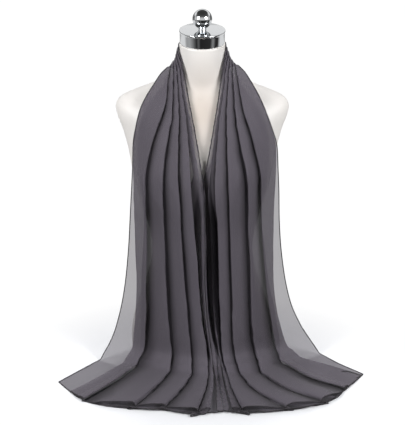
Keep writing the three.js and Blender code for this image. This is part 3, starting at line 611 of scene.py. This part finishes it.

# Polyester chiffon: plain weave of hard-twisted yarn, dull and see-through where it is single, nearly
# black where folds gather, from the layers and from a painted shade in the valleys. The twist pulls the
# weave into fine crepe grain, about 0.4 mm across and longer along the cloth; it is drawn four times
# coarser, so that it shows.
CUT = (0.70, 1.90)
GRAIN = 0.0016
chiffon, tree, shader = finish("polyester_chiffon", Roughness=0.8, Alpha=0.66, Specular_IOR_Level=0.2,
                               Sheen_Weight=0.08, Sheen_Roughness=0.5)
coords = add(tree, "ShaderNodeTexCoord")
warp = add(tree, "ShaderNodeMapping", {"Scale": (CUT[0] / GRAIN, CUT[1] / GRAIN / 2.5, 1)},
           Vector=coords.outputs["UV"])
crepe = add(tree, "ShaderNodeTexNoise", {"Scale": 1.0, "Detail": 2.0, "Roughness": 0.6},
            Vector=warp.outputs["Vector"])
bump = add(tree, "ShaderNodeBump", {"Strength": 0.35, "Distance": 0.0004}, Height=crepe.outputs["Fac"])
tree.links.new(bump.outputs["Normal"], shader.inputs["Normal"])
slub = add(tree, "ShaderNodeTexNoise", {"Scale": 9.0, "Detail": 3.0}, Vector=coords.outputs["UV"])
tone = add(tree, "ShaderNodeMath", {"operation": "MULTIPLY_ADD", 1: 0.5},
           _0=crepe.outputs["Fac"], _2=slub.outputs["Fac"])
shade = add(tree, "ShaderNodeMix", {"data_type": "RGBA", 6: linear("#5b565e"), 7: linear("#66616a")},
            _0=tone.outputs["Value"])
# A painted tone stands for the shade of valleys deeper than these: dark where a face comes out from
# under the fold before it, and gone about 15 mm further on
gathered = add(tree, "ShaderNodeAttribute", {"attribute_name": "gathered"})
with_painted_shade = add(tree, "ShaderNodeMix", {"data_type": "RGBA", 7: linear("#1c191d")},
               _0=gathered.outputs["Fac"], _6=shade.outputs[2])
tree.links.new(with_painted_shade.outputs[2], shader.inputs["Base Color"])

scarf = mesh_piece("chiffon_scarf", cloth.reshape(-1, 3), grid_quads(ROWS, COLS, False), chiffon)
uv = scarf.data.uv_layers.new(name="weave_lay")
corner = np.empty(len(scarf.data.loops), np.int32)
scarf.data.loops.foreach_get("vertex_index", corner)
flat_uv = np.stack([share_across.ravel(), share_along.ravel()], -1)[corner]
uv.data.foreach_set("uv", flat_uv.ravel().astype(np.float32))
# How dark the painted valley shade is at the three points of each face, from its hidden start on
VALLEY_SHADE_LEVELS = (1.0, 0.85, 0.12)
face_starts = EDGE_POINTS + TURN_POINTS + (FACE_POINTS + TURN_POINTS) * np.arange(FOLDS - 1)
gather = np.zeros(control.shape[1])
for offset, amount in enumerate(VALLEY_SHADE_LEVELS):
    gather[face_starts + offset] = amount
gather = np.tile(np.interp(c, np.arange(control.shape[1]), gather), ROWS)
# Per-point amount of the painted valley shade, read by the chiffon's base colour
shade_of_fold = scarf.data.attributes.new("gathered", "FLOAT", "POINT")
shade_of_fold.data.foreach_set("value", gather.astype(np.float32))
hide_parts("scarf_left_end", "scarf_neck", "scarf_right_end")
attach(scarf, "root")


# Rolled hem: the raw edge of the chiffon is rolled over twice and oversewn all round the four sides,
# which leaves a dark cord about two millimetres thick.
HEM_RADIUS, HEM_SIDES, HEM_LOWEST = 1.05, 8, 0.1
cloth_normal = unit(np.cross(np.gradient(cloth, axis=0), np.gradient(cloth, axis=1)))
border = [(np.arange(ROWS), 0), (ROWS - 1, np.arange(1, COLS)),
          (np.arange(ROWS - 2, -1, -1), COLS - 1), (0, np.arange(COLS - 2, 0, -1))]
path = np.concatenate([cloth[i, j] for i, j in border])
face = np.concatenate([cloth_normal[i, j] for i, j in border])
tangent = unit(np.roll(path, -1, 0) - np.roll(path, 1, 0))
side = unit(np.cross(tangent, face))
other_side = np.cross(side, tangent)
angle = (2 * np.pi * np.arange(HEM_SIDES) / HEM_SIDES)[None, :, None]
cord = path[:, None] + HEM_RADIUS * (np.cos(angle) * side[:, None] + np.sin(angle) * other_side[:, None])
cord[..., 2] = np.maximum(cord[..., 2], HEM_LOWEST)
i, j = np.meshgrid(np.arange(len(path)), np.arange(HEM_SIDES), indexing="ij")
row, next_row = i * HEM_SIDES, (i + 1) % len(path) * HEM_SIDES
next_j = (j + 1) % HEM_SIDES
quads = np.stack([row + j, row + next_j, next_row + next_j, next_row + j], -1)
rolled, tree, shader = finish("rolled_chiffon_edge", Base_Color=linear("#2e2b2f"), Roughness=0.85)
coords = add(tree, "ShaderNodeTexCoord")
stitches = add(tree, "ShaderNodeTexWave", {"bands_direction": "DIAGONAL", "Scale": 90.0, "Distortion": 1.0},
               Vector=coords.outputs["Object"])
bump = add(tree, "ShaderNodeBump", {"Strength": 0.4, "Distance": 0.0003}, Height=stitches.outputs["Fac"])
tree.links.new(bump.outputs["Normal"], shader.inputs["Normal"])
hem = mesh_piece("rolled_hem", cord.reshape(-1, 3), quads.reshape(-1, 4), rolled)
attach(hem, "root")


# Table: a white paper sweep under and behind the form. Away from the scarf it glows evenly, so that it
# runs into the white background.
WHITE, BLACK = linear("#ffffff"), linear("#000000")
TABLE_REACH = 6000  # mm to each side
table_white, tree, shader = finish("white_table_paper", Roughness=0.9, Emission_Color=WHITE)
coords = add(tree, "ShaderNodeTexCoord")
middle = add(tree, "ShaderNodeMapping", {"Location": (0, 0.15, 0)}, Vector=coords.outputs["Object"])
reach = add(tree, "ShaderNodeVectorMath", {"operation": "LENGTH"}, _0=middle.outputs["Vector"])
far = add(tree, "ShaderNodeMapRange", {"From Min": 0.3, "From Max": 0.5}, Value=reach.outputs["Value"])
tree.links.new(far.outputs["Result"], shader.inputs["Emission Strength"])
fade = add(tree, "ShaderNodeMix", {"data_type": "RGBA", 6: linear("#ecedf0"), 7: BLACK},
           _0=far.outputs["Result"])
tree.links.new(fade.outputs[2], shader.inputs["Base Color"])
corners = TABLE_REACH * np.array([(-1, -1, 0), (1, -1, 0), (1, 1, 0), (-1, 1, 0)])
table = mesh_piece("table", corners, [(0, 1, 2, 3)], table_white, False)
table.visible_glossy = False
table.visible_diffuse = False


# Studio: a white background, three large soft lights and a dim room, which polished pieces mirror.
world = bpy.data.worlds.new("studio")
scene.world = world
world.use_nodes = True
tree = world.node_tree
sky = tree.nodes["Background"]
way = add(tree, "ShaderNodeTexCoord")
axes = add(tree, "ShaderNodeSeparateXYZ", Vector=way.outputs["Generated"])
# From 0 to 1: upwards, backwards, and round from the back by the left, the front and the right
upwards = add(tree, "ShaderNodeMath", {"operation": "MULTIPLY_ADD", 1: 0.5, 2: 0.5}, _0=axes.outputs["Z"])
backwards = add(tree, "ShaderNodeMath", {"operation": "MULTIPLY_ADD", 1: 0.5, 2: 0.5}, _0=axes.outputs["Y"])
ahead = add(tree, "ShaderNodeMath", {"operation": "MULTIPLY", 1: -1.0}, _0=axes.outputs["Y"])
bearing = add(tree, "ShaderNodeMath", {"operation": "ARCTAN2"},
              _0=axes.outputs["X"], _1=ahead.outputs["Value"])
round_about = add(tree, "ShaderNodeMath", {"operation": "MULTIPLY_ADD", 1: 0.5 / math.pi, 2: 0.5},
                  _0=bearing.outputs["Value"])
# What polished pieces mirror: a dark room with pale walls at the sides, and a white ceiling sheet behind
strips = add(tree, "ShaderNodeValToRGB", stops=[
    (0.0, 0.6), (0.16, 0.85), (0.19, 0.8), (0.22, 0.35), (0.3, 0.4), (0.38, 0.1), (0.41, 0.02),
    (0.44, 0.12), (0.47, 0.02), (0.63, 0.03), (0.67, 0.26), (0.71, 0.03), (0.75, 0.02), (0.79, 0.2),
    (0.82, 0.8), (1.0, 0.6),
], Fac=round_about.outputs["Value"])
front_wall = add(tree, "ShaderNodeValToRGB", stops=[
    (0.0, 0.0), (0.4, 0.02), (0.46, 0.7), (0.66, 0.6), (0.76, 0.12), (0.9, 0.05), (1.0, 0.04),
], Fac=upwards.outputs["Value"])
back_wall = add(tree, "ShaderNodeValToRGB", stops=[
    (0.0, 0.5), (0.3, 0.8), (0.38, 0.8), (0.42, 0.15), (0.63, 0.15), (0.67, 0.85), (0.79, 0.85), (0.85, 0.06),
    (1.0, 0.04),
], Fac=upwards.outputs["Value"])
low_down = add(tree, "ShaderNodeValToRGB", stops=[(0.0, 1), (0.36, 1), (0.42, 0), (1.0, 0)],
               Fac=upwards.outputs["Value"])
behind = add(tree, "ShaderNodeValToRGB", stops=[(0.0, 0), (0.52, 0), (0.66, 1), (1.0, 1)],
             Fac=backwards.outputs["Value"])
walls = add(tree, "ShaderNodeMix", {"data_type": "RGBA"},
            _0=low_down.outputs[0], _6=front_wall.outputs[0], _7=strips.outputs[0])
room = add(tree, "ShaderNodeMix", {"data_type": "RGBA"},
           _0=behind.outputs[0], _6=walls.outputs[2], _7=back_wall.outputs[0])
# What lights the cloth and the form besides the lamps: little from the front, a bright wall behind
fill = add(tree, "ShaderNodeValToRGB", stops=[(0.0, 0.06), (0.45, 0.1), (0.7, 0.7), (1.0, 0.8)],
           Fac=backwards.outputs["Value"])
above = add(tree, "ShaderNodeValToRGB", stops=[(0.0, 0.0), (0.42, 0.0), (0.55, 1.0), (1.0, 1.0)],
            Fac=upwards.outputs["Value"])
glow = add(tree, "ShaderNodeMix", {"data_type": "RGBA", 6: linear("#3f3f3f")},
           _0=above.outputs[0], _7=fill.outputs[0])
ray = add(tree, "ShaderNodeLightPath")
seen = add(tree, "ShaderNodeMix", {"data_type": "RGBA"},
           _0=ray.outputs["Is Glossy Ray"], _6=glow.outputs[2], _7=room.outputs[2])
backdrop = add(tree, "ShaderNodeMix", {"data_type": "RGBA", 7: WHITE},
               _0=ray.outputs["Is Camera Ray"], _6=seen.outputs[2])
tree.links.new(backdrop.outputs[2], sky.inputs["Color"])
sky.inputs["Strength"].default_value = 1.0


def soft_light(name, at, aim, size, watts, mirrored=True):
    """Square area light turned to face aim; mirrored is whether polished pieces reflect it."""
    data = bpy.data.lights.new(name, "AREA")
    data.energy, data.size = watts, size
    lamp = bpy.data.objects.new(name, data)
    lamp.location = at
    x, y, z = np.array(aim) - np.array(at)
    lamp.rotation_euler = (math.atan2(math.hypot(x, y), -z), 0, math.atan2(y, x) - math.pi / 2)
    lamp.visible_glossy = mirrored
    scene.collection.objects.link(lamp)


soft_light("left_softbox", (-1.55, -1.45, 1.35), (0, 0, 0.7), 0.8, 45)
soft_light("right_softbox", (1.55, -1.45, 1.35), (0, 0, 0.7), 0.8, 45)
soft_light("back_light", (0, 2.3, 2.2), (0, 0, 0.4), 1.6, 36, False)

# Camera: solved from the photo, whose long side is 425 pixels
LOOKS_DOWN, FOCAL_PIXELS, LONG_SIDE, SENSOR = 18.2, 1149, 425, 36
camera = bpy.data.objects.new("camera", bpy.data.cameras.new("camera"))
camera.location = (0.0004, -2.4, 1.12)
camera.rotation_euler = (math.radians(90 - LOOKS_DOWN), 0, 0)
camera.data.sensor_width = SENSOR
camera.data.lens = FOCAL_PIXELS * SENSOR / LONG_SIDE
scene.collection.objects.link(camera)
scene.camera = camera
scene.view_settings.view_transform = "Standard"
